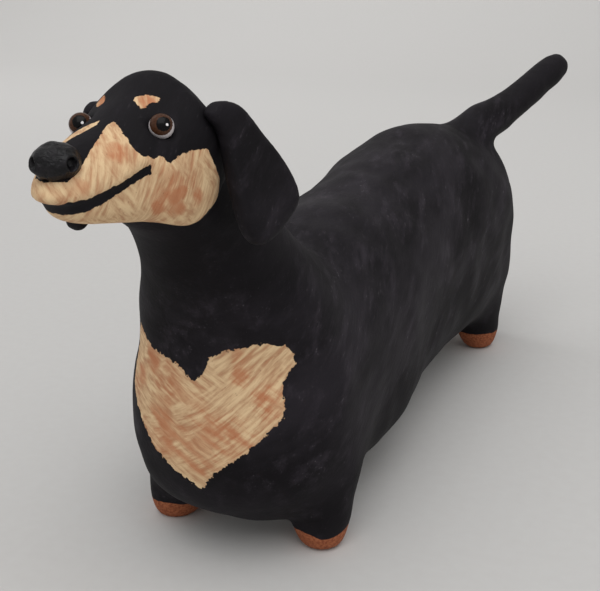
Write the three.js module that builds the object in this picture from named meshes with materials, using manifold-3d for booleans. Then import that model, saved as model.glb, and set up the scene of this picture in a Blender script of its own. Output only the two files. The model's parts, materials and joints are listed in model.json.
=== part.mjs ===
// A hand-built terracotta dachshund, about 269 mm from its nose to the tip of its tail.
//
// It is put together the way a potter does it: a hollow pinched body with a vent in its belly, a neck
// tube, a head with a bore up into it, and solid pieces (legs, jaw, nose, eyes, ears, tail) that are
// luted on. Each piece is a solid of its own, shaped to the form that it is stuck to.
//
// Millimetres, +Z up. The dog faces -Y and its left side is +X. The sizes below are given in the dog's
// own frame: X = 0 is the plane between left and right, Y = 0 is midway between the front and the rear
// legs, and Z = 0 is the table. The last lines put the origin under the middle of the whole figurine.
import * as THREE from "three";
import { mergeVertices } from "three/addons/utils/BufferGeometryUtils.js";
import Module from "manifold-3d";

const wasm = await Module();
wasm.setup();

// ---------------------------------------------------------------------------------------------------
// Driving dimensions
// ---------------------------------------------------------------------------------------------------
const luteGap = 0.35; // between a piece and what it is luted to
const wall = 6; // clay wall of the hollow body
const boreRadius = 5; // air passage from the body up through the neck into the head
const ventRadius = 3; // hole in the belly that lets the kiln's steam out

const bodyLength = 186; // chest to rump
const bodyWidth = 57; // at the rump
const backHeight = 80.5; // table to the highest point of the back
const bellyHeight = 8.5; // table to the lowest point of the belly
const chestAhead = 24; // the chest lies this far in front of the front legs
const chestRound = 27; // how far behind its front the body has its full girth
const rumpRound = 20; // the same, from its back

const legSpacing = 140; // front legs to rear legs
const legTrack = 38; // left legs to right legs
const soleRadius = 4.4;
const footRadius = 5.9; // just above the sole
const thighRadius = 10.5; // where the leg disappears in the body
const legRise = 21; // sole to the top of the leg, before it is shaped to the belly
const legLean = 4.5; // the top of a leg leans this far back (or forward) towards the belly

const neckWidth = 31; // halfway up
const neckDepth = 39;
const neckLean = 27; // the top of the neck lies this far in front of its foot
const neckSetback = 23; // the middle of the neck's foot lies this far behind the chest
const neckBelowCrown = 13; // the neck ends inside the skull, this far under its crown

const headWidth = 26;
const headLength = 50; // back of the skull to the upper lip
const headHeight = 25; // jaw line to crown
const muzzleRound = 5.5; // how far behind its front the muzzle has its full height
const skullRound = 18; // the same, from the back of the skull
const crownHeight = 107.5; // table to crown
const lipAhead = 40; // the upper lip lies this far in front of the chest
const mouthSlot = 0.9; // between the lips
const jawSetback = 2.4; // the chin lies this far behind the upper lip

const eyeRadius = 2.15;
const eyeSpread = 16.1; // left eye to right eye
const eyeSkew = 0.6; // the left eye sits this much higher than the right one
const noseWidth = 7.7;
const noseHeight = 6.4;
const noseSetback = 3.1; // the middle of the nose lies this far behind the upper lip

const earLength = 26;
const earWidth = 17;
const earThickness = 3.4;
const earInset = 0.6; // the middle of the slab's root lies this far inside the widest part of the head
const earSplay = 15; // degrees, how far the ear's back edge swings away from the head
const earFlare = 16; // degrees, how far the ear's lower end stands away from the head

const tailLength = 52; // root to tip along Y, with the part that is buried in the rump
const tailRadius = 6.4; // where it leaves the rump
const tailTipRadius = 4.1;
const tailRise = 21; // rump to tip
const tailSwing = 20; // the tip lies this far to the dog's left of the root

// ---------------------------------------------------------------------------------------------------
// Helpers
// ---------------------------------------------------------------------------------------------------
const { degToRad, lerp, mapLinear } = THREE.MathUtils;

// A closed geometry as a solid that can be cut and joined.
function solidOf(geometry) {
  const bare = geometry.index ? geometry.toNonIndexed() : geometry.clone();
  bare.deleteAttribute("normal");
  bare.deleteAttribute("uv");
  const merged = mergeVertices(bare, 1e-4);
  return new wasm.Manifold(
    new wasm.Mesh({
      numProp: 3,
      vertProperties: merged.attributes.position.array,
      triVerts: new Uint32Array(merged.index.array),
    }),
  );
}

// A solid back as a geometry.
function geometryOf(solid) {
  const mesh = solid.getMesh();
  const positions = new Float32Array(mesh.numVert * 3);
  for (let i = 0; i < mesh.numVert; i++) {
    positions.set(mesh.vertProperties.subarray(i * mesh.numProp, i * mesh.numProp + 3), i * 3);
  }
  const geometry = new THREE.BufferGeometry();
  geometry.setAttribute("position", new THREE.BufferAttribute(positions, 3));
  geometry.setIndex(new THREE.BufferAttribute(mesh.triVerts, 1));
  geometry.computeVertexNormals();
  return geometry;
}

// One geometry with others cut out of it.
function carve(geometry, ...cutters) {
  const cut = cutters.reduce((solid, cutter) => solid.subtract(solidOf(cutter)), solidOf(geometry));
  return geometryOf(cut);
}

// Moves every point of a geometry: press(point) changes the point in place.
function mould(geometry, press) {
  const positions = geometry.attributes.position;
  const point = new THREE.Vector3();
  for (let i = 0; i < positions.count; i++) {
    point.fromBufferAttribute(positions, i);
    press(point);
    positions.setXYZ(i, point.x, point.y, point.z);
  }
  return geometry;
}

// A smooth curve through (at, value) pairs, as a function of at. Beyond its ends it stays level.
function through(...pairs) {
  const curve = new THREE.SplineCurve(pairs.map(([at, value]) => new THREE.Vector2(at, value)));
  const samples = curve.getPoints((pairs.length - 1) * 12);
  return (at) => {
    const after = samples.findIndex((sample) => sample.x >= at);
    if (after === 0) return samples[0].y;
    if (after < 0) return samples.at(-1).y;
    const [a, b] = [samples[after - 1], samples[after]];
    return mapLinear(at, a.x, b.x, a.y, b.y);
  };
}

// A signed power, which makes a circle's sine and cosine squarer (power over 2) or leaner (under 2).
const squared = (value, power) => Math.sign(value) * Math.abs(value) ** (2 / power);

// A lump of clay that lies along Y. halfWidth, top and bottom are functions of the share of its length
// from front (0) to back (1). upper and lower say how square its section is above and below the middle.
// Its ends close over frontRound and backRound, like a circle in plan and more bluntly in side view.
// grow makes it that much bigger all round.
function lump(shape) {
  const { front, back, frontRound, backRound, halfWidth, top, bottom } = shape;
  const { upper = 2, lower = 2, blunt = 2, radial = 32, rings = 28, grow = 0 } = shape;
  const endShare = 0.27; // of the rings, at each end
  const place = (share) => {
    const fromEnd = Math.min(share, 1 - share);
    if (fromEnd >= endShare) {
      const between = mapLinear(share, endShare, 1 - endShare, 0, 1);
      return { y: lerp(front + frontRound, back - backRound, between), inset: 0, close: 1 };
    }
    const turn = (fromEnd / endShare) * (Math.PI / 2);
    const atFront = share < 0.5;
    const base = atFront ? front + frontRound : back - backRound;
    const reach = (atFront ? -1 : 1) * Math.cos(turn);
    const round = atFront ? frontRound : backRound;
    return { y: base + reach * round, push: reach * grow, inset: Math.cos(turn), close: Math.sin(turn) };
  };
  return mould(new THREE.SphereGeometry(1, radial, rings).rotateX(Math.PI / 2), (p) => {
    const ringShare = Math.acos(THREE.MathUtils.clamp(-p.y, -1, 1)) / Math.PI;
    const around = Math.atan2(p.z, p.x);
    const { y, push = 0, inset, close } = place(ringShare);
    const share = (y - front) / (back - front);
    const power = p.z > 0 ? upper : lower;
    const [high, low] = [top(share), bottom(share)];
    const tall = (1 - Math.min(inset, 1) ** blunt) ** (1 / blunt);
    const across = squared(Math.cos(around), power);
    const upward = squared(Math.sin(around), power);
    p.x = close * across * (halfWidth(share) + grow);
    p.y = y + push;
    p.z = (high + low) / 2 + tall * upward * ((high - low) / 2 + grow);
  });
}

// ---------------------------------------------------------------------------------------------------
// Body: a long rounded box, higher behind than in front, with a full chest and rump
// ---------------------------------------------------------------------------------------------------
const chestY = -legSpacing / 2 - chestAhead;
const rumpY = chestY + bodyLength;

function bodyForm(grow = 0, detail = {}) {
  const girth = through([0, 0.93], [0.15, 0.94], [0.5, 0.92], [0.85, 1], [1, 0.98]);
  const back = through(
    [0, 0.73], [0.12, 0.79], [0.25, 0.825], [0.4, 0.85], [0.54, 0.89],
    [0.67, 0.94], [0.76, 0.97], [0.86, 0.955], [1, 0.87],
  );
  const belly = through([0, 1], [0.25, 1], [0.45, 1.2], [0.7, 1.25], [0.9, 1.1], [1, 1]);
  return lump({
    front: chestY,
    back: rumpY,
    frontRound: chestRound,
    backRound: rumpRound,
    halfWidth: (share) => (bodyWidth / 2) * girth(share),
    top: (share) => backHeight * back(share),
    bottom: (share) => bellyHeight * belly(share),
    upper: 2,
    lower: 3.8,
    blunt: 3.2,
    radial: 36,
    rings: 30,
    grow,
    ...detail,
  });
}

// ---------------------------------------------------------------------------------------------------
// Neck: a leaning column that spreads into the shoulders below and the throat above
// ---------------------------------------------------------------------------------------------------
const neckFootY = chestY + neckSetback;
const neckFootZ = backHeight * 0.55;
const neckTopZ = crownHeight - neckBelowCrown;

const neckMiddle = through(
  [0, 0], [0.18, 0.02], [0.32, 0.055], [0.435, 0.22], [0.63, 0.5], [0.71, 0.63], [0.79, 0.81], [1, 1],
);

function neckForm(grow = 0) {
  const width = through(
    [0, 1.34], [0.18, 1.41], [0.32, 1.28], [0.435, 1.04],
    [0.63, 0.83], [0.79, 0.76], [1, 0.62],
  );
  const depth = through(
    [0, 1], [0.18, 1.06], [0.32, 1.1], [0.435, 1],
    [0.63, 0.85], [0.79, 0.9], [1, 0.6],
  );
  const geometry = new THREE.CylinderGeometry(1, 1, 1, 28, 12).rotateX(Math.PI / 2);
  return mould(geometry, (p) => {
    const share = p.z + 0.5;
    p.x *= (neckWidth / 2) * width(share) + grow;
    p.y = neckFootY - neckLean * neckMiddle(share) + p.y * ((neckDepth / 2) * depth(share) + grow);
    p.z = lerp(neckFootZ, neckTopZ, share);
  });
}

// The air passage follows the neck's middle, from the hollow of the body into the head.
function boreForm() {
  const geometry = new THREE.CylinderGeometry(boreRadius, boreRadius, 1, 20, 10).rotateX(Math.PI / 2);
  return mould(geometry, (p) => {
    const share = lerp(-0.1, 1, p.z + 0.5);
    p.y += neckFootY - neckLean * neckMiddle(share);
    p.z = lerp(neckFootZ, neckTopZ, share);
  });
}

// ---------------------------------------------------------------------------------------------------
// Head: a domed skull that runs down over the stop into a long muzzle
// ---------------------------------------------------------------------------------------------------
const lipY = chestY - lipAhead;
const skullY = lipY + headLength;
const jawLine = crownHeight - headHeight;

// Shares run from the upper lip (0) to the back of the skull (1); heights are shares of the head's.
function headForm(grow = 0) {
  const crown = through(
    [0, 0.5], [0.08, 0.55], [0.15, 0.6], [0.21, 0.64], [0.31, 0.69],
    [0.4, 0.755], [0.51, 0.89], [0.63, 1], [0.8, 0.865], [1, 0.66],
  );
  const chin = through([0, 0.15], [0.15, 0.1], [0.3, 0.045], [0.44, 0], [0.6, 0], [0.8, 0.06], [1, 0.25]);
  const girth = through(
    [0, 0.42], [0.12, 0.48], [0.25, 0.7], [0.36, 0.87],
    [0.5, 0.97], [0.64, 1], [0.82, 0.92], [1, 0.75],
  );
  return lump({
    front: lipY,
    back: skullY,
    frontRound: muzzleRound,
    backRound: skullRound,
    halfWidth: (share) => (headWidth / 2) * girth(share),
    top: (share) => jawLine + headHeight * crown(share),
    bottom: (share) => jawLine + headHeight * chin(share),
    upper: 1.8,
    lower: 3.4,
    blunt: 2.4,
    radial: 30,
    rings: 28,
    grow,
  });
}

// A block whose top is the line of the smile, from in front of the lips up to the mouth's corner, and
// whose back comes down behind the jaw. What is inside it is the jaw, and what is outside is the head.
function smileBlock(lower = 0) {
  const ahead = lipY - headLength * 0.1;
  const below = jawLine - headHeight * 0.2;
  const smile = [[-0.1, 0.275], [0.06, 0.29], [0.15, 0.335], [0.24, 0.405], [0.32, 0.49]];
  const line = smile.map(
    ([y, z]) => new THREE.Vector2(lipY + headLength * y, jawLine + headHeight * z - lower),
  );
  const outline = new THREE.Shape();
  outline.moveTo(ahead, below);
  outline.lineTo(line[0].x, line[0].y);
  outline.splineThru(line.slice(1));
  outline.lineTo(lipY + headLength * 0.46 - lower, below);
  outline.lineTo(ahead, below);
  const across = { depth: 2 * headWidth, bevelEnabled: false, curveSegments: 8 };
  const geometry = new THREE.ExtrudeGeometry(outline, across);
  return geometry.translate(0, 0, -headWidth).rotateX(Math.PI / 2).rotateZ(Math.PI / 2);
}

// The lower jaw has the head's own form, drawn back behind the upper lip and a little slimmer.
function jawForm() {
  const slim = 0.94;
  const outer = headForm().scale(slim, 1, 1).translate(0, jawSetback, 0);
  return geometryOf(solidOf(outer).intersect(solidOf(smileBlock(mouthSlot))));
}

// ---------------------------------------------------------------------------------------------------
// Small pieces on the head
// ---------------------------------------------------------------------------------------------------
function noseForm() {
  const geometry = new THREE.SphereGeometry(1, 22, 16).scale(noseWidth / 2, noseWidth / 2, noseHeight / 2);
  return geometry.translate(0, lipY + noseSetback, jawLine + headHeight * 0.53);
}

function eyeForm(side, grow = 0) {
  const geometry = new THREE.SphereGeometry(eyeRadius + grow, 18, 12);
  const height = jawLine + headHeight * 0.66 + (side * eyeSkew) / 2;
  return geometry.translate((side * eyeSpread) / 2, lipY + headLength * 0.43, height);
}

// A slab, cut to a rounded outline that hangs from its root and stands out a little from the skull.
// The outline is given in shares of the ear's width (backwards) and length (upwards).
const earOutline = [
  [-0.07, -0.03],
  [0.02, -0.22], [0.02, -0.48], [0.02, -0.69], [0.08, -0.88], // down the front edge
  [0.24, -0.95], [0.52, -0.89], // round the lower end
  [0.84, -0.77], [0.93, -0.67], [0.87, -0.5], [0.75, -0.3], // up the back edge
  [0.56, -0.13], [0.28, 0.01], [0.03, 0.05], // over the top
];

function earForm(side) {
  const corners = earOutline.map(([back, up]) => new THREE.Vector2(back * earWidth, up * earLength));
  const rim = new THREE.SplineCurve([...corners, corners[0]]).getPoints(3 * corners.length);
  const outline = new THREE.Shape(rim.slice(0, -1));
  const bevel = 1;
  const geometry = new THREE.ExtrudeGeometry(outline, {
    depth: earThickness - 2 * bevel,
    bevelSize: bevel,
    bevelOffset: -bevel,
    bevelThickness: bevel,
    bevelSegments: 2,
  });
  geometry.translate(0, 0, bevel - earThickness / 2);
  geometry.rotateX(Math.PI / 2).rotateZ(Math.PI / 2); // the slab stands in the YZ plane and faces +X
  geometry.rotateY(degToRad(-earFlare)).rotateZ(degToRad(-earSplay));
  geometry.translate(headWidth / 2 - earInset, lipY + headLength * 0.63, crownHeight - headHeight * 0.25);
  return side > 0 ? geometry : mirrored(geometry);
}

// A geometry reflected from the dog's left to its right, with its faces still pointing out.
function mirrored(geometry) {
  const flat = geometry.index ? geometry.toNonIndexed() : geometry;
  const positions = flat.attributes.position;
  const corner = new THREE.Vector3();
  const other = new THREE.Vector3();
  for (let i = 0; i < positions.count; i += 3) {
    corner.fromBufferAttribute(positions, i + 1);
    other.fromBufferAttribute(positions, i + 2);
    positions.setXYZ(i, -positions.getX(i), positions.getY(i), positions.getZ(i));
    positions.setXYZ(i + 1, -other.x, other.y, other.z);
    positions.setXYZ(i + 2, -corner.x, corner.y, corner.z);
  }
  return flat;
}

// ---------------------------------------------------------------------------------------------------
// Legs and tail
// ---------------------------------------------------------------------------------------------------
function legForm(x, y) {
  const flare = thighRadius - footRadius;
  const radius = through(
    [0, soleRadius], [0.04, lerp(soleRadius, footRadius, 0.6)], [0.2, footRadius],
    [0.5, footRadius + 0.35 * flare], [1, thighRadius],
  );
  const geometry = new THREE.CylinderGeometry(1, 1, 1, 22, 9).rotateX(Math.PI / 2);
  return mould(geometry, (p) => {
    const share = (p.z + 0.5) ** 1.6;
    p.x = x - 0.45 * Math.sign(x) * legLean * share + p.x * radius(share);
    p.y = y - Math.sign(y) * legLean * share + p.y * radius(share) * (1 + 0.2 * share);
    p.z = share * legRise;
  });
}

function tailForm() {
  const root = new THREE.Vector3(9, rumpY - 14, backHeight * 0.87);
  const tip = new THREE.Vector3(root.x + tailSwing, root.y + tailLength, root.z + tailRise);
  const middle = new THREE.Vector3().lerpVectors(root, tip, 0.5).add(new THREE.Vector3(1.5, -3, 1));
  const curve = new THREE.QuadraticBezierCurve3(root, middle, tip);
  const geometry = new THREE.CapsuleGeometry(1, 10, 6, 18, 10);
  return mould(geometry, (p) => {
    const share = THREE.MathUtils.clamp(mapLinear(p.y, -5, 5, 0, 1), 0, 1);
    const beyond = p.y - mapLinear(share, 0, 1, -5, 5);
    const along = curve.getTangent(share);
    const side = new THREE.Vector3().crossVectors(along, new THREE.Vector3(0, 0, 1)).normalize();
    const up = new THREE.Vector3().crossVectors(side, along);
    const radius = lerp(tailRadius, tailTipRadius, share);
    const { x, z } = p;
    p.copy(curve.getPoint(share)).addScaledVector(along, beyond * radius);
    p.addScaledVector(side, x * radius).addScaledVector(up, z * radius);
  });
}

// ---------------------------------------------------------------------------------------------------
// Assembly
// ---------------------------------------------------------------------------------------------------
const blackPaint = { color: 0x242126, roughness: 0.85 };
const creamPaint = { color: 0xc7a67c, roughness: 0.9 };
const terracotta = { color: 0xa5603d, roughness: 0.9 };
const glossBlack = { color: 0x151315, roughness: 0.4 };
const glossBrown = { color: 0x3a2013, roughness: 0.15 };

const dog = new THREE.Group();
function add(name, geometry, finish) {
  const mesh = new THREE.Mesh(geometry, new THREE.MeshStandardMaterial({ metalness: 0, ...finish }));
  mesh.name = name;
  dog.add(mesh);
}

const hollow = bodyForm(-wall, { radial: 24, rings: 18 });
const vent = new THREE.CylinderGeometry(ventRadius, ventRadius, 4 * wall, 20).rotateX(Math.PI / 2);
vent.translate(0, 0, bellyHeight);
const bodySeat = bodyForm(luteGap);
const headSeat = headForm(luteGap);
const sockets = [eyeForm(1, luteGap), eyeForm(-1, luteGap)];

add("body", carve(bodyForm(), hollow, vent, boreForm()), blackPaint);
add("neck", carve(neckForm(), bodySeat, headSeat, boreForm()), blackPaint);
add("head", carve(headForm(), boreForm(), smileBlock(), ...sockets), blackPaint);
add("lower_jaw", jawForm(), creamPaint);
add("nose", carve(noseForm(), headSeat), glossBlack);
add("left_eye", eyeForm(1), glossBrown);
add("right_eye", eyeForm(-1), glossBrown);
add("left_ear", carve(earForm(1), headSeat), blackPaint);
add("right_ear", carve(earForm(-1), headSeat), blackPaint);
add("tail", carve(tailForm(), bodySeat), blackPaint);
for (const [end, y] of [["front", -legSpacing / 2], ["rear", legSpacing / 2]]) {
  for (const [side, x] of [["left", legTrack / 2], ["right", -legTrack / 2]]) {
    add(`${end}_${side}_leg`, carve(legForm(x, y), bodySeat), terracotta);
  }
}

// The origin goes under the middle of the whole figurine, on the table.
const extent = new THREE.Box3().setFromObject(dog);
const centre = extent.getCenter(new THREE.Vector3());
dog.position.set(-centre.x, -centre.y, -extent.min.z);

export default dog;
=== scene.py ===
# %% [markdown]
# # A hand-built dachshund in painted terracotta
#
# The real figurine is a hollow, pinched body with a neck tube, a head and small pieces luted on. It
# was bisque fired and then painted with matt black and cream, and the soles were left bare. The CAD
# frame holds every piece at its real size. This lesson builds the surfaces that the eye sees on it:
# the joins smoothed over by a thumb, the brushed paint, and the glossy bead eyes.

# %% The fixed frame
import json
import math

import bmesh
import bpy
import numpy as np
from mathutils import Matrix, Vector, noise
from mathutils.bvhtree import BVHTree


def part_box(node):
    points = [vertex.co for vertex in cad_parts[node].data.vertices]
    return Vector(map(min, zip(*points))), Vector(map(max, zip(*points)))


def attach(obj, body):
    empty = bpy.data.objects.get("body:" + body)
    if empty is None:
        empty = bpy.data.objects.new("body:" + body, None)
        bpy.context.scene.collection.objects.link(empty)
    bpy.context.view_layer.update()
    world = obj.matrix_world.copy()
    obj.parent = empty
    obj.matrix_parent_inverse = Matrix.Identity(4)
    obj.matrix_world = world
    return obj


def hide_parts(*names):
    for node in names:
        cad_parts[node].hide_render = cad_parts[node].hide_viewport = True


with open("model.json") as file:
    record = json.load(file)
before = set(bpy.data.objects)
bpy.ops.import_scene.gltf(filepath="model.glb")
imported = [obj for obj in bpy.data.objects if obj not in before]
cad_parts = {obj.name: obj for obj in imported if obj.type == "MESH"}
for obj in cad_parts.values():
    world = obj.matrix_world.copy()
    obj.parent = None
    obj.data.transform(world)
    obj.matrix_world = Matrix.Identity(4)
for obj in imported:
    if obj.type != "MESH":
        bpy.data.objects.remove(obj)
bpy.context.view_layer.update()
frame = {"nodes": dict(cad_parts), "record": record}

# %% [markdown]
# ## The dog's own millimetres
#
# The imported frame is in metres, with its origin under the middle of the whole figurine. A maker
# measures a dog from the middle of its feet, in millimetres. So every piece is modelled in the dog's
# own frame: X to its left, -Y ahead, Z up, and the origin midway between the four soles. One matrix
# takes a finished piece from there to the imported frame, and the materials use the same origin.

# %% The dog's own frame
MM = 0.001
soles = [Vector(mount["pos_m"]) for mount in frame["record"]["mounts"]]
between_feet = sum(soles, Vector()) / len(soles)
dog_space = Matrix.Translation(between_feet) @ Matrix.Scale(MM, 4)
leg_track = 2 * max(sole.x - between_feet.x for sole in soles) / MM
leg_spacing = 2 * max(sole.y - between_feet.y for sole in soles) / MM


def box_of(node):
    """The lowest and highest corners of a CAD node, in the dog's millimetres."""
    return [dog_space.inverted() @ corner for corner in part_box(node)]


print("leg track", round(leg_track, 1), "mm, leg spacing", round(leg_spacing, 1), "mm")

# %% [markdown]
# ## Clay from the CAD pieces
#
# The CAD solids have the right places and sizes, but they are faceted and stand a hair apart. A thumb
# would push the clay of one piece over the join onto the next. Here copies of the solids are merged,
# swollen until they meet, and remeshed with small voxels into one skin, which can then be smoothed
# like wet clay. A boolean union could join them as well, but it would keep every facet and leave hard
# creases where a thumb leaves a soft fillet. The CAD objects themselves stay as they are.

# %% Helpers for clay
def clay(*nodes, swell=0.0):
    """A bmesh of copies of CAD nodes, merged, in millimetres, and swollen by that much."""
    bm = bmesh.new()
    for node in nodes:
        bm.from_mesh(frame["nodes"][node].data)
    bm.transform(dog_space.inverted())
    bmesh.ops.remove_doubles(bm, verts=bm.verts, dist=0.01)
    bm.normal_update()
    for v in bm.verts:
        v.co += v.normal * swell
    return bm


def put_in(bm, other):
    """Adds a bmesh to another, as a separate lump of clay."""
    mesh = bpy.data.meshes.new("lump")
    other.to_mesh(mesh)
    other.free()
    bm.from_mesh(mesh)
    bpy.data.meshes.remove(mesh)


def keep_largest_shell(bm):
    """Deletes the small shells that are closed up inside a skin, such as the bore of the neck."""
    left, largest = set(bm.verts), set()
    for start in bm.verts:
        if start not in left:
            continue
        left.remove(start)
        shell, waiting = {start}, [start]
        while waiting:
            here = waiting.pop()
            for edge in here.link_edges:
                beside = edge.other_vert(here)
                if beside in left:
                    left.remove(beside)
                    shell.add(beside)
                    waiting.append(beside)
        largest = max(largest, shell, key=len)
    bmesh.ops.delete(bm, geom=[v for v in bm.verts if v not in largest], context="VERTS")


def remeshed(bm, voxel):
    """One skin round everything in a bmesh, of square faces about one voxel wide."""
    mesh = bpy.data.meshes.new("clay")
    bm.to_mesh(mesh)
    bm.free()
    lump = bpy.data.objects.new("clay", mesh)
    bpy.context.scene.collection.objects.link(lump)
    voxels = lump.modifiers.new("voxels", "REMESH")
    voxels.mode = "VOXEL"
    voxels.voxel_size = voxel
    skin = bmesh.new()
    skin.from_object(lump, bpy.context.evaluated_depsgraph_get())
    bpy.data.objects.remove(lump)
    bpy.data.meshes.remove(mesh)
    keep_largest_shell(skin)
    return skin


def relax(bm, times, verts=None):
    """Strokes the clay: each pass moves a vertex towards the middle of its neighbours."""
    every_way = {"use_axis_x": True, "use_axis_y": True, "use_axis_z": True}
    for _ in range(times):
        bmesh.ops.smooth_vert(bm, verts=verts or bm.verts, factor=0.5, **every_way)


def grab(bm, centre, radius, by, both_sides=True):
    """A thumb at centre moves the clay within radius, most in the middle and none at the edge."""
    for side in (1, -1) if both_sides else (1,):
        mirror = Vector((side, 1, 1))
        spot, push = Vector(centre) * mirror, Vector(by) * mirror
        for v in bm.verts:
            far = (v.co - spot).length / radius
            if far < 1:
                v.co += push * (1 - far * far) ** 2


def knead(bm, size, depth, seed):
    """Unevenness that fingers leave: lumps of one size, in and out by up to depth."""
    bm.normal_update()
    offset = Vector((seed, 2.3 * seed, -1.7 * seed))
    for v in bm.verts:
        v.co += v.normal * depth * noise.noise(v.co / size + offset)


# %% [markdown]
# ## Finishing a piece
#
# A finished piece goes from the dog's millimetres to the imported frame, rides on the figurine's only body,
# takes its material, and hides the CAD nodes that it stands for.

# %% Helper that finishes a piece
def finish_piece(bm, name, material, nodes):
    """Turns a bmesh in millimetres into a shown piece that stands for the CAD nodes."""
    bmesh.ops.recalc_face_normals(bm, faces=bm.faces)
    bm.transform(dog_space)
    mesh = bpy.data.meshes.new(name)
    bm.to_mesh(mesh)
    bm.free()
    mesh.polygons.foreach_set("use_smooth", [True] * len(mesh.polygons))
    mesh.materials.append(material)
    piece = bpy.data.objects.new(name, mesh)
    bpy.context.scene.collection.objects.link(piece)
    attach(piece, "root")
    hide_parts(*nodes)
    print(name, "has", len(mesh.polygons), "faces")
    return piece


# %% [markdown]
# ## Painted borders as distances
#
# The cream patches have torn, ragged borders. A border could be cut into the mesh, but paint has no
# step, and the faces would turn to slivers. Each vertex stores how many millimetres it lies inside the
# patch instead. The material adds a little noise to that distance and takes the sign, so the border is
# as crisp and as ragged as a brush leaves it, at any resolution.

# %% Helpers for painted places
def depth_inside(points, outline):
    """For each 2-D point, the distance to a closed outline: positive inside and negative outside."""
    points, corners = np.asarray(points, float), np.asarray(outline, float)
    nearest = np.full(len(points), np.inf)
    inside = np.zeros(len(points), bool)
    for a, b in zip(corners, np.roll(corners, -1, axis=0)):
        along = b - a
        share = np.clip((points - a) @ along / (along @ along), 0, 1)
        nearest = np.minimum(nearest, np.linalg.norm(points - a - share[:, None] * along, axis=1))
        crosses = (a[1] > points[:, 1]) != (b[1] > points[:, 1])
        rise = b[1] - a[1] if b[1] != a[1] else 1.0
        inside ^= crosses & (points[:, 0] < a[0] + (points[:, 1] - a[1]) / rise * along[0])
    return np.where(inside, nearest, -nearest)


def rubbed_and_shaded(points, spots):
    """How thin the paint is, 0 to 1, from soft round spots of (x, y, z, radius): rubbed off, and on the chest
    partly painted shade.
    """
    wear_and_shade = np.zeros(len(points))
    for x, y, z, radius in spots:
        far = np.linalg.norm(points - (x, y, z), axis=1) / radius
        wear_and_shade = np.maximum(wear_and_shade, np.clip(1 - far**2, 0, 1))
    return wear_and_shade


def places(bm):
    """All vertex places of a bmesh as one array."""
    return np.array([v.co for v in bm.verts])


def keep(bm, name, values):
    """Stores one number for each vertex, as an attribute that the material reads."""
    layer = bm.verts.layers.float.get(name) or bm.verts.layers.float.new(name)
    for v, value in zip(bm.verts, values):
        v[layer] = value


# %% [markdown]
# ## Node trees
#
# Every finish is a node tree on Object coordinates, turned to the dog's millimetres by a Mapping node.
# So a noise of scale 1/8 has lumps 8 mm across on every piece, and the paint runs on across the joins.

# %% Helpers for materials
def linear(hexcode):
    """An sRGB hex colour as the linear RGBA that a shader wants."""
    shares = [int(hexcode[i : i + 2], 16) / 255 for i in (1, 3, 5)]
    return [s / 12.92 if s <= 0.04045 else ((s + 0.055) / 1.055) ** 2.4 for s in shares] + [1.0]


def add_node(tree, kind, inputs=None, **settings):
    """Adds a node. An input is a value, a socket, or a node, which stands for its first live output."""
    node = tree.nodes.new("ShaderNode" + kind)
    for name, value in settings.items():
        setattr(node, name, value)
    for key, value in (inputs or {}).items():
        if isinstance(value, bpy.types.Node):
            value = next(output for output in value.outputs if output.enabled)
        if isinstance(value, bpy.types.NodeSocket):
            tree.links.new(value, node.inputs[key])
        else:
            node.inputs[key].default_value = value
    return node


def new_finish(name):
    """An empty material with its shader, and a vector socket in the dog's millimetres."""
    material = bpy.data.materials.new(name)
    material.use_nodes = True
    tree = material.node_tree
    shader = tree.nodes["Principled BSDF"]
    where = add_node(tree, "TexCoord").outputs["Object"]
    to_mm = {"Vector": where, "Scale": [1 / MM] * 3, "Location": -between_feet / MM}
    return material, tree, shader, add_node(tree, "Mapping", to_mm).outputs["Vector"]


# Sockets of a colour mix and of a map range, which Blender numbers instead of naming apart.
FACTOR, A, B, MIXED = 0, 6, 7, 2
LOW, HIGH, TO_LOW, TO_HIGH = 1, 2, 3, 4
COLOURS = {"data_type": "RGBA"}
SOFT = {"interpolation_type": "SMOOTHSTEP"}

# %% [markdown]
# ## Matt black paint
#
# On the real dog this is an acrylic or a slip without gloss: nearly black with a purple-brown tint.
# Handling has polished it into dusty, smoky streaks a few centimetres long, and a nearly dry brush has
# left pale flecks. A single dark colour would look like plastic, so three noises lie over each other,
# each at the size it has on the clay: smoke of 28 mm, dust of 4 mm drawn out along the strokes, and
# flecks of half a millimetre. Acrylic has an IOR near 1.5. Fine pores make it rough, about 0.7, and
# swallow most of its gloss, so its specular level is far under the usual half.

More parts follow.
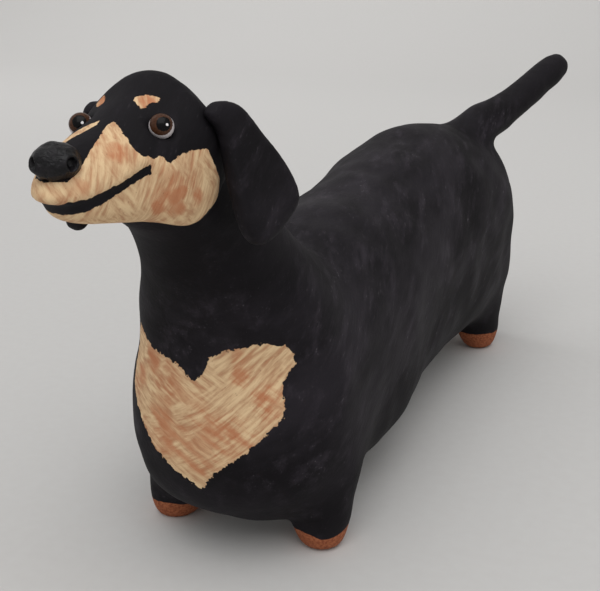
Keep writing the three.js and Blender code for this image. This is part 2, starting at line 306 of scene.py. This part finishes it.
# %% The black
def black_paint(tree, place):
    """The colour and the smoke of matt black paint."""
    along_back = {"Vector": place, "Rotation": (0.3, 0, 0.1), "Scale": (1, 2.2, 0.7)}
    drawn = add_node(tree, "Mapping", along_back, vector_type="TEXTURE")
    smoke = add_node(tree, "TexNoise", {"Vector": drawn, "Scale": 1 / 28, "Detail": 5, "Roughness": 0.6})
    smoke = add_node(tree, "MapRange", {"Value": smoke, LOW: 0.36, HIGH: 0.68}, **SOFT)
    # The attribute read here fades dust and smoke where hands touch less. It is also painted shade: it
    # darkens the black on the neck under the head and under the chest.
    handled_and_lit = add_node(tree, "Attribute", attribute_name="handled_and_lit").outputs["Fac"]
    smoke = add_node(tree, "Math", {0: smoke, 1: handled_and_lit}, operation="MULTIPLY")
    streaks = {"Vector": place, "Rotation": (0.6, 0, 0.2), "Scale": (1, 4, 1)}
    brushed = add_node(tree, "Mapping", streaks, vector_type="TEXTURE")
    dust = add_node(tree, "TexNoise", {"Vector": brushed, "Scale": 1 / 4, "Detail": 6, "Roughness": 0.62})
    dust = add_node(tree, "MapRange", {"Value": dust, LOW: 0.48, HIGH: 0.76, TO_HIGH: 0.42}, **SOFT)
    dust = add_node(tree, "Math", {0: dust, 1: handled_and_lit}, operation="MULTIPLY")
    fleck = add_node(tree, "TexNoise", {"Vector": brushed, "Scale": 1 / 0.5, "Detail": 3, "Roughness": 0.6})
    fleck = add_node(tree, "MapRange", {"Value": fleck, LOW: 0.62, HIGH: 0.76}, **SOFT)
    where = add_node(tree, "MapRange", {"Value": dust, LOW: 0.05, HIGH: 0.4, TO_LOW: 0.05, TO_HIGH: 0.4})
    fleck = add_node(tree, "Math", {0: fleck, 1: where}, operation="MULTIPLY")
    colour = add_node(tree, "Mix", {FACTOR: smoke, A: linear("#0a070b"), B: linear("#201c22")}, **COLOURS)
    colour = add_node(tree, "Mix", {FACTOR: dust, A: colour, B: linear("#413b43")}, **COLOURS)
    return add_node(tree, "Mix", {FACTOR: fleck, A: colour, B: linear("#8d878c")}, **COLOURS), smoke


# %% [markdown]
# ## Cream paint, brushed on
#
# The cream is stiffer paint that was dragged on with a small, half-dry bristle brush. Its strokes are
# 0.5 to 1 mm wide and run in two directions, they stand up a little, and the clay glows orange through
# them where the paint is thin. Wood-grain or marble textures would be too regular, so stretched noise
# makes the strokes, once for each direction, and a slow noise says which stroke lies on top.

# %% The cream
def cream_paint(tree, place, lean):
    """The colour and the height of brushed cream paint whose strokes lean that many radians."""
    sweep = {"Vector": place, "Rotation": (-0.5 * lean, lean, 0), "Scale": (8, 4, 1)}
    sweep = add_node(tree, "Mapping", sweep, vector_type="TEXTURE")
    first = add_node(tree, "TexNoise", {"Vector": sweep, "Scale": 1 / 0.8, "Detail": 4, "Roughness": 0.6})
    cross = {"Vector": place, "Rotation": (lean, -lean, 0), "Scale": (8, 6, 1)}
    cross = add_node(tree, "Mapping", cross, vector_type="TEXTURE")
    second = add_node(tree, "TexNoise", {"Vector": cross, "Scale": 1 / 0.8, "Detail": 4, "Roughness": 0.6})
    on_top = add_node(tree, "TexNoise", {"Vector": place, "Scale": 1 / 6, "Detail": 2})
    leftward = add_node(tree, "SeparateXYZ", {0: place}).outputs["X"]
    on_top = add_node(tree, "Math", {0: leftward, 1: 0.008, 2: on_top}, operation="MULTIPLY_ADD")
    on_top = add_node(tree, "MapRange", {"Value": on_top, LOW: 0.4, HIGH: 0.6}, **SOFT)
    stroke = add_node(tree, "Mix", {0: on_top, 2: first.outputs[0], 3: second.outputs[0]})
    light = add_node(tree, "MapRange", {"Value": stroke, LOW: 0.3, HIGH: 0.66}, **SOFT)
    colour = add_node(tree, "Mix", {FACTOR: light, A: linear("#b98e6b"), B: linear("#e3c59b")}, **COLOURS)

    thin = add_node(tree, "TexNoise", {"Vector": place, "Scale": 1 / 11, "Detail": 4, "Distortion": 0.5})
    thin = add_node(tree, "MapRange", {"Value": thin, LOW: 0.38, HIGH: 0.72, TO_HIGH: 0.5}, **SOFT)
    blotch = add_node(tree, "TexNoise", {"Vector": sweep, "Scale": 1 / 1.6, "Detail": 3})
    blotch = add_node(tree, "MapRange", {"Value": blotch, LOW: 0.3, HIGH: 0.7, TO_HIGH: 1.1})
    # The attribute read here says how thin the paint is: rubbed off, and on the chest partly painted shade.
    wear_and_shade = add_node(tree, "Attribute", attribute_name="wear_and_shade").outputs["Fac"]
    thin = add_node(tree, "Math", {0: wear_and_shade, 1: blotch, 2: thin}, operation="MULTIPLY_ADD")
    thin = add_node(tree, "Math", {0: stroke, 1: -1.1, 2: thin}, operation="MULTIPLY_ADD")
    gaps = add_node(tree, "MapRange", {"Value": thin, LOW: -0.5, HIGH: 0.35, TO_HIGH: 0.8}, **SOFT)
    colour = add_node(tree, "Mix", {FACTOR: gaps, A: colour, B: linear("#b9744f")}, **COLOURS)

    pores = add_node(tree, "TexNoise", {"Vector": place, "Scale": 1 / 0.35, "Detail": 2})
    pores = add_node(tree, "MapRange", {"Value": pores, LOW: 0.66, HIGH: 0.76, TO_HIGH: 0.45}, **SOFT)
    return add_node(tree, "Mix", {FACTOR: pores, A: colour, B: linear("#7d5138")}, **COLOURS), stroke


# %% [markdown]
# ## The painted clay
#
# Black, cream and bare clay meet on one surface, so one material holds all three with a mask for each
# border. The clay is a red earthenware with fine sand, whose grains of 0.6 mm roughen all of the paint
# as well. The cream's border wanders by about half a millimetre, as a dry brush tears it, and the black
# ends in a wavy line some 5 mm above the table, where the maker held the feet while painting.

# %% Painted clay
def painted_clay(name, lean=0.0, torn=0.0, has_feet=False, patches=True):
    """Black paint with cream patches, torn that many mm at their borders, and bare clay at the feet."""
    material, tree, shader, place = new_finish(name)
    colour, smoke = black_paint(tree, place)
    sand = add_node(tree, "TexNoise", {"Vector": place, "Scale": 1 / 0.6, "Detail": 4, "Roughness": 0.6})
    relief = add_node(tree, "Bump", {"Strength": 0.3, "Distance": 0.12 * MM, "Height": sand})
    drawn = {"Vector": place, "Rotation": (0.6, 0, 0.2), "Scale": (1, 6, 1)}
    drawn = add_node(tree, "Mapping", drawn, vector_type="TEXTURE")
    brush = add_node(tree, "TexNoise", {"Vector": drawn, "Scale": 1 / 0.8, "Detail": 4})
    relief = {"Strength": 0.4, "Distance": 0.18 * MM, "Height": brush, "Normal": relief}
    relief = add_node(tree, "Bump", relief)

    if patches:
        ragged = {"Vector": place, "Scale": 1 / 1.2, "Detail": 5, "Roughness": 0.6}
        ragged = add_node(tree, "TexNoise", ragged)
        ragged = {"Value": ragged, LOW: 0.3, HIGH: 0.7, TO_LOW: -torn, TO_HIGH: torn}
        ragged = add_node(tree, "MapRange", ragged)
        depth = add_node(tree, "Attribute", attribute_name="cream").outputs["Fac"]
        depth = add_node(tree, "Math", {0: depth, 1: ragged}, operation="ADD")
        is_cream = add_node(tree, "MapRange", {"Value": depth, LOW: -0.05, HIGH: 0.05}, **SOFT)
        cream, stroke = cream_paint(tree, place, lean)
        colour = add_node(tree, "Mix", {FACTOR: is_cream, A: colour, B: cream}, **COLOURS)
        ridges = add_node(tree, "Math", {0: stroke, 1: 0.5}, operation="ADD")
        ridges = add_node(tree, "Math", {0: ridges, 1: is_cream}, operation="MULTIPLY")
        relief = {"Strength": 0.7, "Distance": 0.3 * MM, "Height": ridges, "Normal": relief}
        relief = add_node(tree, "Bump", relief)

    if has_feet:
        split = add_node(tree, "SeparateXYZ", {0: place})
        height = {0: split.outputs["Y"], 1: -0.015, 2: split.outputs["Z"]}
        height = add_node(tree, "Math", height, operation="MULTIPLY_ADD")
        wave = add_node(tree, "TexNoise", {"Vector": place, "Scale": 1 / 6, "Detail": 3})
        wave = add_node(tree, "Math", {0: wave, 1: 3.0, 2: height}, operation="MULTIPLY_ADD")
        is_bare = {"Value": wave, LOW: 6.9, HIGH: 7.1, TO_LOW: 1, TO_HIGH: 0}
        is_bare = add_node(tree, "MapRange", is_bare, **SOFT)
        grains = add_node(tree, "MapRange", {"Value": sand, LOW: 0.3, HIGH: 0.7}, **SOFT)
        bare = add_node(tree, "Mix", {FACTOR: grains, A: linear("#7d422b"), B: linear("#ab6846")}, **COLOURS)
        colour = add_node(tree, "Mix", {FACTOR: is_bare, A: colour, B: bare}, **COLOURS)

    worn = add_node(tree, "MapRange", {"Value": smoke, TO_LOW: 0.76, TO_HIGH: 0.62})
    shader.inputs["Specular IOR Level"].default_value = 0.18
    shader.inputs["IOR"].default_value = 1.5
    tree.links.new(colour.outputs[MIXED], shader.inputs["Base Color"])
    tree.links.new(worn.outputs["Result"], shader.inputs["Roughness"])
    tree.links.new(relief.outputs["Normal"], shader.inputs["Normal"])
    return material


painted_skin = painted_clay("matt_paint_on_terracotta", lean=0.55, torn=0.6, has_feet=True)
painted_head = painted_clay("matt_paint_on_face", lean=0.9, torn=0.22)
black_coat = painted_clay("matt_black_paint", patches=False)

# %% [markdown]
# ## The skin of body, neck, legs and tail
#
# The body is a closed, hollow form, and only its outside is seen. A vertex belongs to the outside if
# a ray from it, away from the body's core, meets nothing. The inside is dropped and the holes that
# the cut leaves are filled. Then body, neck, legs, tail and a slim copy of the skull are made one skin.

# %% Outside of the body
def outside_only(bm):
    """Drops the walls of a hollow, and closes what stays."""
    core_from_end, step_off = 30, 0.5
    low, high = box_of("body")
    tree = BVHTree.FromBMesh(bm)
    hidden = []
    for v in bm.verts:
        core_y = min(max(v.co.y, low.y + core_from_end), high.y - core_from_end)
        away = (v.co - Vector((0, core_y, (low.z + high.z) / 2))).normalized()
        if tree.ray_cast(v.co + away * step_off, away)[0]:
            hidden.append(v)
    bmesh.ops.delete(bm, geom=hidden, context="VERTS")
    bmesh.ops.holes_fill(bm, edges=[e for e in bm.edges if e.is_boundary])
    return bm


legs = ["front_left_leg", "front_right_leg", "rear_left_leg", "rear_right_leg"]
swells = {"neck": 1.0, "tail": 1.5, **{leg: 1.0 for leg in legs}}
skin = outside_only(clay("body", swell=0.1))
for node, swell in swells.items():
    put_in(skin, clay(node, swell=swell))
put_in(skin, clay("head", swell=-1.8))
body_voxel = 1.6
skin = remeshed(skin, body_voxel)
print("skin before smoothing:", len(skin.verts), "vertices")

# %% [markdown]
# ## Stroking the joins
#
# A wet thumb runs round the foot of the neck, the roots of the legs, and the nape, until the joins
# are gone. Then the whole body is stroked lightly, and single presses push the clay where it swells
# or sinks. What fingers leave is a slow unevenness, about a millimetre deep over two centimetres, and
# it is what tells pinched clay from cast clay. At last the soles are set flat on the table.

# %% The joins
relax(skin, 10)
neck_low, neck_high = box_of("neck")


def near_joins(bm):
    """Vertices at the foot of the neck, at the roots of the legs, and at the nape."""
    under_neck, up_neck, behind_neck = 6, 26, 12
    nape_depth, nape_front_y = 12, -100
    root_low, root_high, root_reach = 8, 24, 24
    chosen = []
    for v in bm.verts:
        at_neck = neck_low.z - under_neck < v.co.z < neck_low.z + up_neck
        at_neck = at_neck and v.co.y < neck_high.y + behind_neck
        at_nape = v.co.z > neck_high.z - nape_depth and v.co.y > nape_front_y
        at_legs = root_low < v.co.z < root_high and abs(abs(v.co.y) - leg_spacing / 2) < root_reach
        if at_neck or at_nape or at_legs:
            chosen.append(v)
    return chosen


relax(skin, 24, near_joins(skin))
relax(skin, 4)
bmesh.ops.subdivide_edges(skin, edges=skin.edges, cuts=1, use_grid_fill=True, smooth=0)
relax(skin, 6)
# Each press is the thumb's place, its reach, how far it moves the clay, and whether both sides get it.
body_presses = {
    "throat": ((-8, -113, 81), 12, (-0.8, -2.8, 0.3), False),
    "rump": ((22, 83, 66), 13, (1, 1, 3), True),
    "belly": ((27, 20, 14), 42, (-1.3, 0, 1.6), True),
    "right of the chest": ((-20, -95, 55), 13, (-0.5, -0.5, 0), False),
    "inside of the right foot": ((-10, -80, 9), 10, (0, 0, 1.5), False),
    "inside of the left foot": ((9, -80, 9), 9, (0, 0, -2), False),
}
for press in body_presses.values():
    grab(skin, *press)
knead(skin, 22, 1.1, 3)
knead(skin, 9, 0.35, 5)
everything = skin.verts[:] + skin.edges[:] + skin.faces[:]
bmesh.ops.bisect_plane(skin, geom=everything, plane_co=(0, 0, 0), plane_no=(0, 0, 1), clear_inner=True)
bmesh.ops.holes_fill(skin, edges=[e for e in skin.edges if e.is_boundary])
print("skin:", len(skin.verts), "vertices")

# %% [markdown]
# ## The cream chest
#
# The patch wraps round the chest, so its outline is drawn on the unrolled chest: along, the distance
# round the chest's curve, and up, the height. It is a shield with two lobes and a notch between them.
# The brush ran dry here and there towards both shoulders, where the clay shows. In its lower middle and on
# its right side the clay also shows through as painted shade, where the chest turns away from the light. On
# the body, what the hands touch most is dusty, and the tail is less so. The neck under the head and the
# underside of the chest are kept dark as painted shade.

# %% Chest patch
chest_radius = 27.0
chest_middle_y = box_of("body")[0].y + chest_radius
far_from_paint = -50
notch_and_left_lobe = [(0, 45), (3, 47), (3.5, 50), (8, 52), (16, 53.5), (21.5, 52), (23.5, 48.5), (20, 44.5)]
left_side_and_tip = [(20, 37.5), (13, 31.5), (5, 25.5), (1, 20.5)]
right_side_and_lobe = [(-7, 25), (-22, 37), (-24, 44), (-23, 50.5), (-19, 53), (-12.5, 49.5), (-4, 48)]
shield = notch_and_left_lobe + left_side_and_tip + right_side_and_lobe
at = places(skin)
round_chest = chest_radius * np.arctan2(at[:, 0], chest_middle_y - at[:, 1])
chest_depth = depth_inside(np.column_stack([round_chest, at[:, 2]]), shield)
chest_depth[at[:, 1] > chest_middle_y] = far_from_paint
keep(skin, "cream", chest_depth)
# Spots where the cream is thin and the clay shows: rubbed paint, and also painted shade on the lower middle
# and the right side of the chest.
chest_wear_and_shade = [
    (4, -93, 32.5, 9), (-1, -94, 31, 7), (9, -91, 34, 7), (15, -88, 41, 5), (10, -91, 46, 3),
    (-12, -90, 47, 4), (-8, -92, 36, 5), (1, -93, 26, 4), (-16, -88, 42, 4),
]
keep(skin, "wear_and_shade", rubbed_and_shaded(at, chest_wear_and_shade))
shoulder_z, shoulder_y, tail_free_y, chest_low_z = 58, -70, box_of("tail")[0].y + 16, 30
# Dust fades on the tail, where hands touch less. On the neck under the head and on the underside of the chest
# it fades as painted shade, so the black is darker there.
neck_in_head_shade = np.clip((at[:, 2] - shoulder_z) / 8, 0, 1) * np.clip((shoulder_y - at[:, 1]) / 10, 0, 1)
on_tail = np.clip((at[:, 1] - tail_free_y) / 8, 0, 1)
shade_under_chest = np.clip((chest_low_z - at[:, 2]) / 12, 0, 1)
keep(skin, "handled_and_lit", np.clip(1.1 - 0.8 * neck_in_head_shade - 0.8 * on_tail - 0.6 * shade_under_chest, 0, 1))
finish_piece(skin, "body_skin", painted_skin, ["body", "neck", "tail", *legs])

# %% [markdown]
# ## The head
#
# The skull and the muzzle are one lump with a slot cut for the smile, and the jaw is pressed against
# it from below. The remesh is finer here, 0.6 mm and then half of that, because the lips and the eye
# sockets are small. The maker pinched the corners of the jaw square, and that is done with a grab.

# %% Head and jaw
small_voxel = 0.6
head = clay("head")
put_in(head, clay("lower_jaw", swell=0.12))
head = remeshed(head, small_voxel)
relax(head, 10)
head_presses = {
    "corner of the jaw": ((11.5, -106.5, 84.5), 9, (0.3, 0.6, -2.6)),
    "forehead": ((6.5, -110, 104), 8, (-0.5, 0, -0.6)),
    "back of the skull": ((8, -95, 103), 10, (-0.6, 0, -0.7)),
    "lip": ((0, -134, 90), 4, (0, -0.3, 0.1)),
}
for press in head_presses.values():
    grab(head, *press)
bmesh.ops.subdivide_edges(head, edges=head.edges, cuts=1, use_grid_fill=True, smooth=0)
relax(head, 4)
knead(head, 8, 0.3, 7)
print("head:", len(head.verts), "vertices")

# %% [markdown]
# ## Paint on the face
#
# The cream covers the lips, the jaw and the cheeks, and rises to a point on each side of the muzzle.
# The black comes down between that point and the cheek in scallops, and fills the mouth. The outlines
# are drawn on the unrolled head: along, the place from nose to nape, and up, the distance round the
# muzzle's middle from the bridge of the nose. They hold for both sides, but the brows are two quick
# dabs that differ, and each is drawn as it looks from above.

# %% Face patches
muzzle_round, muzzle_middle_z = 10.0, 91.0
bridge = [(-116.5, 1.5), (-118, 1), (-125.5, 4.5), (-132, 9.5), (-136, 12)]
under_jaw = [(-136, 40), (-109, 40)]
cheek = [(-107.5, 23), (-104.5, 21), (-101.5, 20.5), (-102, 17), (-104, 15), (-105.5, 13), (-108, 12.5)]
scallops = [(-113, 12.5), (-115, 13.3), (-116, 12), (-116.5, 11.7), (-117.5, 12), (-118, 11.2), (-119, 11)]
beside_muzzle = [(-119.5, 10), (-119.5, 8), (-118, 4.5)]
face = bridge + under_jaw + cheek + scallops + beside_muzzle
upper_lip = [(-132.5, 90), (-129, 90.5), (-123.5, 92), (-118, 94)]
lower_lip = [(-118, 92.5), (-123, 90.5), (-125.5, 89.5), (-128, 88.5), (-130.5, 87.5), (-132.5, 87.5)]
mouth = upper_lip + lower_lip
left_brow = [
    (1.5, -110.5), (1.5, -109.5), (2.5, -108.5), (3.5, -108), (4.5, -107.5), (5, -107.5), (5, -108.5),
    (4.5, -109), (4, -110), (4, -111), (3.5, -111.5), (2.5, -111),
]
right_brow = [(-8, -105.5), (-6.5, -107), (-6, -108.5), (-7, -109), (-8, -108), (-9, -106.5)]
lip_top_z, lip_back_y, brow_low_z = 93.2, -130.5, 99
at = places(head)
round_muzzle = muzzle_round * np.arctan2(np.abs(at[:, 0]), at[:, 2] - muzzle_middle_z)
face_depth = depth_inside(np.column_stack([at[:, 1], round_muzzle]), face)
lip_depth = np.minimum(lip_top_z - at[:, 2], lip_back_y - at[:, 1])
face_depth = np.maximum(face_depth, lip_depth)
face_depth = np.minimum(face_depth, -depth_inside(at[:, 1:], mouth))
brow_depth = np.maximum(depth_inside(at[:, :2], left_brow), depth_inside(at[:, :2], right_brow))
brow_depth = np.where(at[:, 2] > brow_low_z, brow_depth, far_from_paint)
keep(head, "cream", np.maximum(face_depth, brow_depth))
face_wear = [
    (5.5, -122, 97, 2), (6, -122.5, 96, 2), (4.5, -131, 92, 2), (9, -116.5, 86.5, 2), (11, -114.5, 88, 2),
    (12, -113, 88.5, 1.5), (12.5, -109, 87, 2), (11, -113, 85.5, 2), (3.5, -109.5, 103, 3),
    (-7.5, -107.5, 102, 3),
]
keep(head, "wear_and_shade", rubbed_and_shaded(at, face_wear))
keep(head, "handled_and_lit", np.full(len(at), 0.3))
finish_piece(head, "painted_head", painted_head, ["head", "lower_jaw"])

# %% [markdown]
# ## Nose
#
# The nose is a ball of clay, pressed on, wrinkled with a tool and painted in a black with some gloss.
# A ball that is pushed in twice gives the nostrils their raised rims. The wrinkles are real relief
# where they are larger than a mesh face, and bump where they are finer.

# %% Nose
nose_low, nose_high = box_of("nose")
nose_radius = (nose_high.x - nose_low.x) / 2
nose_flat, nose_askew, nose_inset = 0.83, 0.3, 0.2
nose_middle = (nose_askew, nose_low.y + nose_radius + nose_inset, nose_high.z - nose_flat * nose_radius)
nose_middle = Vector(nose_middle)
nose = bmesh.new()
bmesh.ops.create_uvsphere(nose, u_segments=128, v_segments=96, radius=1)
for v in nose.verts:
    v.co = nose_middle + v.co * nose_radius * Vector((1, 1, nose_flat))
for turn in (math.radians(76), math.radians(-30)):
    out = Vector((math.sin(turn), -math.cos(turn), 0.05))
    grab(nose, nose_middle + out * nose_radius, 2.1, out * 0.75, both_sides=False)
    grab(nose, nose_middle + out * nose_radius * 1.08, 1.35, out * -2.4, both_sides=False)
knead(nose, 1.6, 0.26, 11)
nose_finish, tree, shader, place = new_finish("satin_black_paint")
wrinkle = add_node(tree, "TexNoise", {"Vector": place, "Scale": 1 / 1.1, "Detail": 4, "Distortion": 0.6})
# Painted shade: the dips of the wrinkles are painted darker than their crests.
crease_shade = add_node(tree, "MapRange", {"Value": wrinkle, LOW: 0.4, HIGH: 0.7}, **SOFT)
crease_shade = add_node(tree, "Mix", {FACTOR: crease_shade, A: linear("#050406"), B: linear("#151216")}, **COLOURS)
gloss = add_node(tree, "MapRange", {"Value": wrinkle, LOW: 0.3, HIGH: 0.7, TO_LOW: 0.25, TO_HIGH: 0.5})
bump = add_node(tree, "Bump", {"Strength": 0.9, "Distance": 0.45 * MM, "Height": wrinkle})
tree.links.new(crease_shade.outputs[MIXED], shader.inputs["Base Color"])
tree.links.new(gloss.outputs["Result"], shader.inputs["Roughness"])
tree.links.new(bump.outputs["Normal"], shader.inputs["Normal"])
shader.inputs["Specular IOR Level"].default_value = 0.26
finish_piece(nose, "nose", nose_finish, ["nose"])

# %% [markdown]
# ## Eyes
#
# Each eye is a clay bead that was painted white, with a brown iris and a black pupil, and then coated with
# gloss varnish. The iris sits a little high and to one side, so that a white sickle shows under it. A small
# white dot beside the pupil is a painted highlight: the glint of the light on the varnish. The half of the
# bead that faces away from the gaze is painted dark as shade from the socket, and its edge is a thin dark rim
# round the eye. The pattern is drawn on the bead itself: each vertex stores where it lies from the middle of
# the gaze, in millimetres across, up and ahead.

# %% Eyes
eye_finish, tree, shader, place = new_finish("painted_eye_under_varnish")
seen = add_node(tree, "Attribute", attribute_name="gaze").outputs["Vector"]
fibres = add_node(tree, "TexNoise", {"Vector": place, "Scale": 1 / 0.3, "Detail": 4})
wobble = add_node(tree, "MapRange", {"Value": fibres, LOW: 0.3, HIGH: 0.7, TO_LOW: -0.06, TO_HIGH: 0.06})
colour = add_node(tree, "Mix", {FACTOR: fibres, A: linear("#d8d2d2"), B: linear("#bdb4b6")}, **COLOURS)
iris = add_node(tree, "Mix", {FACTOR: fibres, A: linear("#24130c"), B: linear("#5a3925")}, **COLOURS)
pattern = {
    "iris": ((-0.02, 0.42), 1.88, iris),
    "pupil": ((0.33, 0.38), 1.17, linear("#050405")),
    # A painted highlight: a white dot that paints the glint of the light on the varnish.
    "painted_highlight": ((0.94, 0.24), 0.22, linear("#f4f1f1")),
}
for (across, up), radius, paint in pattern.values():
    away = add_node(tree, "VectorMath", {0: seen, 1: (across, up, 0)}, operation="SUBTRACT")
    away = add_node(tree, "VectorMath", {0: away, 1: (1, 1, 0)}, operation="MULTIPLY")
    away = add_node(tree, "VectorMath", {0: away}, operation="LENGTH").outputs["Value"]
    away = add_node(tree, "Math", {0: away, 1: wobble}, operation="ADD")
    inside = {"Value": away, LOW: radius - 0.04, HIGH: radius + 0.04, TO_LOW: 1, TO_HIGH: 0}
    inside = add_node(tree, "MapRange", inside, **SOFT)
    colour = add_node(tree, "Mix", {FACTOR: inside, A: colour, B: paint}, **COLOURS)
# Painted shade: the half of the bead that faces away from the gaze is dark, as if the socket shaded it, and
# its edge makes a thin dark rim round the eye.
ahead = add_node(tree, "SeparateXYZ", {0: seen}).outputs["Z"]
outside_socket_shade = add_node(tree, "MapRange", {"Value": ahead, LOW: -0.1, HIGH: 0.1})
colour = add_node(tree, "Mix", {FACTOR: outside_socket_shade, A: linear("#151114"), B: colour}, **COLOURS)
tree.links.new(colour.outputs[MIXED], shader.inputs["Base Color"])
smear = add_node(tree, "MapRange", {"Value": fibres, TO_LOW: 0.22, TO_HIGH: 0.34})
tree.links.new(smear.outputs["Result"], shader.inputs["Roughness"])
uneven = add_node(tree, "Bump", {"Strength": 0.15, "Distance": 0.05 * MM, "Height": fibres})
tree.links.new(uneven.outputs["Normal"], shader.inputs["Normal"])
shader.inputs["Coat Weight"].default_value = 0.06
shader.inputs["Specular IOR Level"].default_value = 0.12
shader.inputs["Coat Roughness"].default_value = 0.08

# How far each eye looks to the dog's left, and up, in degrees.
gazes = {"left_eye": (32, 8.1), "right_eye": (14.7, 12.6)}
for name, (left, up) in gazes.items():
    low, high = box_of(name)
    middle, radius = (low + high) / 2, (high.z - low.z) / 2
    left, up = math.radians(left), math.radians(up)
    look = Vector((math.sin(left) * math.cos(up), -math.cos(left) * math.cos(up), math.sin(up)))
    across = look.cross(Vector((0, 0, 1))).normalized()
    upward = across.cross(look)
    eye = bmesh.new()
    bmesh.ops.create_uvsphere(eye, u_segments=64, v_segments=48, radius=radius)
    layer = eye.verts.layers.float_vector.new("gaze")
    for v in eye.verts:
        v[layer] = Vector((-v.co.dot(across), v.co.dot(upward), v.co.dot(look)))
        v.co += middle
    finish_piece(eye, name, eye_finish, [name])

# %% [markdown]
# ## Ears
#
# An ear is a slab of clay, rolled out 3.4 mm thick, cut to a rounded outline and luted on by its top.
# Its edge stays fairly crisp, so it is smoothed much less than the body, and its face is pressed a
# little hollow by the thumb that held it.

# %% Ears
ear_presses = {
    "front of the root": ((12.5, -105.5, 101), 4, (-0.8, -1.4, 0)),
    "top": ((13, -101, 103), 5, (-0.3, 0, -0.3)),
    "back edge": ((17, -92, 96.5), 10, (-0.4, -0.9, -0.4)),
}
for name, drop in (("left_ear", 0), ("right_ear", -1.1)):
    ear = remeshed(clay(name, swell=0.3), small_voxel)
    bmesh.ops.translate(ear, verts=ear.verts, vec=(0, 0, drop))
    relax(ear, 6)
    for press in ear_presses.values():
        grab(ear, *press)
    bmesh.ops.subdivide_edges(ear, edges=ear.edges, cuts=1, use_grid_fill=True, smooth=0)
    relax(ear, 3)
    knead(ear, 8, 0.35, 13)
    keep(ear, "handled_and_lit", np.full(len(ear.verts), 0.6))
    finish_piece(ear, name, black_coat, [name])

# %% [markdown]
# ## The table, the light and the camera
#
# The dog stands on plain pale paper that rises behind it in a wide curve, which hides the horizon
# there. A large soft light above and in front gives the clay its gentle modelling, a second one
# brightens the paper behind, and pale surroundings fill the shadows. The camera stands about 17 cm
# from the dog's face, and being so close is what makes the head look large.

# %% Stage
scene = bpy.context.scene
scene.view_settings.view_transform = "Standard"
floor = bmesh.new()
bmesh.ops.create_grid(floor, x_segments=1, y_segments=1, size=4)
curve_y, curve_radius = 0.9, 1.2
back_edge = max(floor.edges, key=lambda e: sum(v.co.y for v in e.verts))
for v in back_edge.verts:
    v.co.y = curve_y
rolled = {"cent": (0, curve_y, curve_radius), "axis": (1, 0, 0), "angle": math.pi / 2, "steps": 24}
bmesh.ops.spin(floor, geom=[back_edge, *back_edge.verts], **rolled)
top_edge = max(floor.edges, key=lambda e: sum(v.co.z for v in e.verts))
wall = bmesh.ops.extrude_edge_only(floor, edges=[top_edge])
wall_top = [v for v in wall["geom"] if isinstance(v, bmesh.types.BMVert)]
bmesh.ops.translate(floor, verts=wall_top, vec=(0, 0, 3))
bmesh.ops.recalc_face_normals(floor, faces=floor.faces)
floor_mesh = bpy.data.meshes.new("floor")
floor.to_mesh(floor_mesh)
floor.free()
floor_mesh.polygons.foreach_set("use_smooth", [True] * len(floor_mesh.polygons))
paper, tree, shader, place = new_finish("pale_paper")
fibre = add_node(tree, "TexNoise", {"Vector": place, "Scale": 1 / 3, "Detail": 5})
tone = add_node(tree, "Mix", {FACTOR: fibre, A: linear("#c6c4c2"), B: linear("#cbcac8")}, **COLOURS)
tree.links.new(tone.outputs[MIXED], shader.inputs["Base Color"])
shader.inputs["Roughness"].default_value = 0.9
floor_mesh.materials.append(paper)
floor = bpy.data.objects.new("floor", floor_mesh)
scene.collection.objects.link(floor)

world = bpy.data.worlds.new("studio")
scene.world = world
world.use_nodes = True
background = world.node_tree.nodes["Background"]
background.inputs["Color"].default_value = linear("#d9d9d9")
background.inputs["Strength"].default_value = 0.84


def soft_light(name, place, target, size, power):
    """A square soft box that looks at a target."""
    light = bpy.data.lights.new(name, "AREA")
    light.size = size
    light.energy = power
    lamp = bpy.data.objects.new(name, light)
    lamp.location = place
    lamp.rotation_euler = (Vector(target) - Vector(place)).to_track_quat("-Z", "Y").to_euler()
    scene.collection.objects.link(lamp)


soft_light("ceiling", (0.2, -0.45, 1.0), (0, -0.04, 0.03), 1.1, 7)
soft_light("window", (-0.8, 0.4, 1.3), (-0.6, 2.0, 0.7), 1.0, 12)

# %% Camera
camera = bpy.data.objects.new("camera", bpy.data.cameras.new("camera"))
scene.collection.objects.link(camera)
camera.data.lens = 60
camera.data.sensor_width = 36
camera.data.clip_start = 0.01
camera_place = dog_space @ Vector((96.8, -254.5, 122.8))
yaw, pitch, roll = math.radians(24.2), math.radians(17.7), math.radians(-0.3)
aim = Matrix.Rotation(yaw, 4, "Z") @ Matrix.Rotation(math.pi / 2 - pitch, 4, "X")
camera.matrix_world = Matrix.Translation(camera_place) @ aim @ Matrix.Rotation(roll, 4, "Z")
scene.camera = camera
